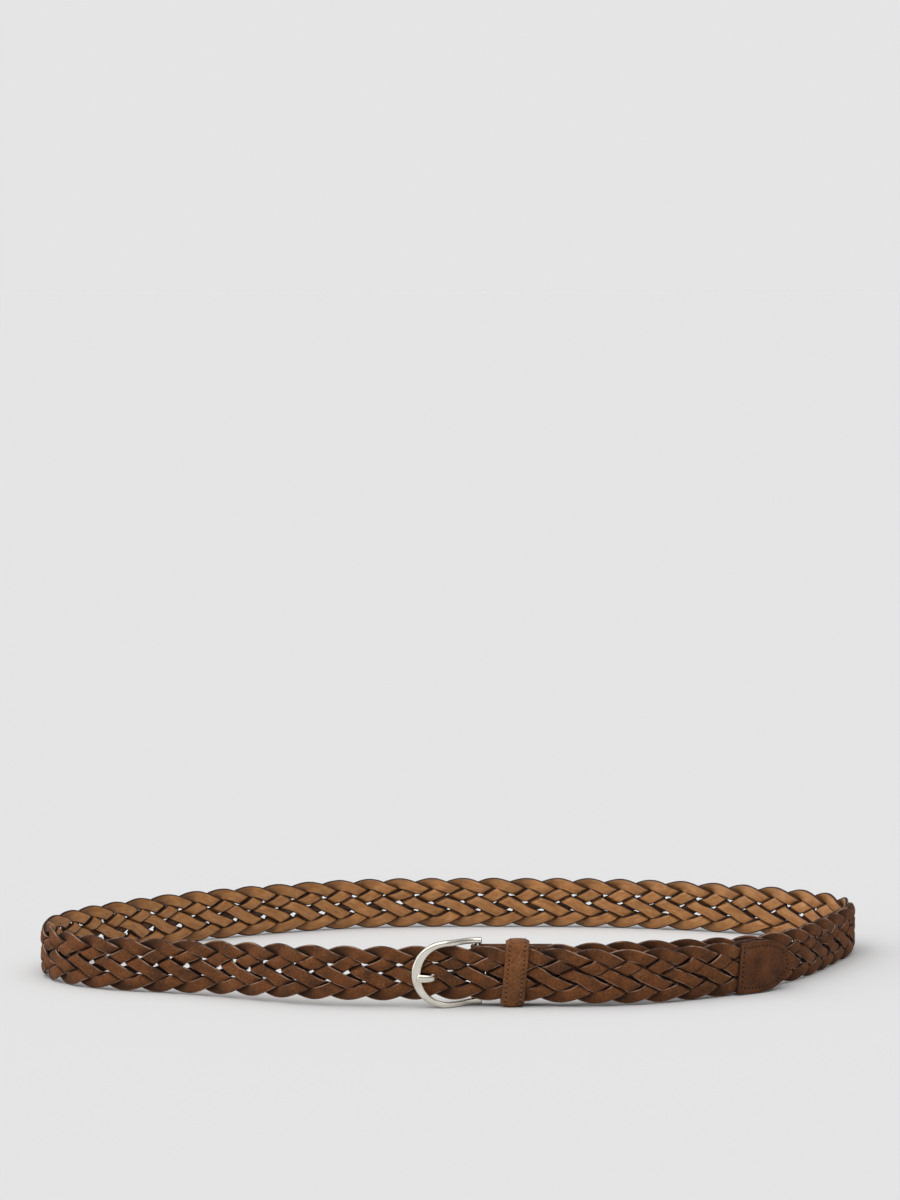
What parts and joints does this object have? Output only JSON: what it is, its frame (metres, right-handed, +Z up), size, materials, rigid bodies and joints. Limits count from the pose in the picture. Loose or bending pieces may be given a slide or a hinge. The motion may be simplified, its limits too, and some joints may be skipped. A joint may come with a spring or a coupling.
{
  "type": "braided leather belt",
  "caption": "Narrow belt braided from flat leather strands, buckled in a loop that stands on its lower edge.",
  "frame": {"origin": "on the surface that the belt stands on, under the middle of the loop's box", "axes": "+X along the loop's long way, +Y from the buckle to the back of the loop, +Z up, across the belt"},
  "size_m": [0.3908, 0.2222, 0.0309],
  "materials": {
    "braid_leather": "soft brown nubuck outside, smooth tan inside, dark painted edges",
    "trim_leather": "soft brown nubuck, stitched in matching thread",
    "buckle_metal": "pale satin nickel plating"
  },
  "bodies": {
    "root": {"strand_1": "braid_leather", "strand_2": "braid_leather", "strand_3": "braid_leather", "strand_4": "braid_leather", "strand_5": "braid_leather", "strand_6": "braid_leather", "tip_front": "trim_leather", "tip_back": "trim_leather", "chape": "trim_leather", "keeper": "trim_leather", "buckle_frame": "buckle_metal", "prong": "buckle_metal"}
  },
  "joints": []
}
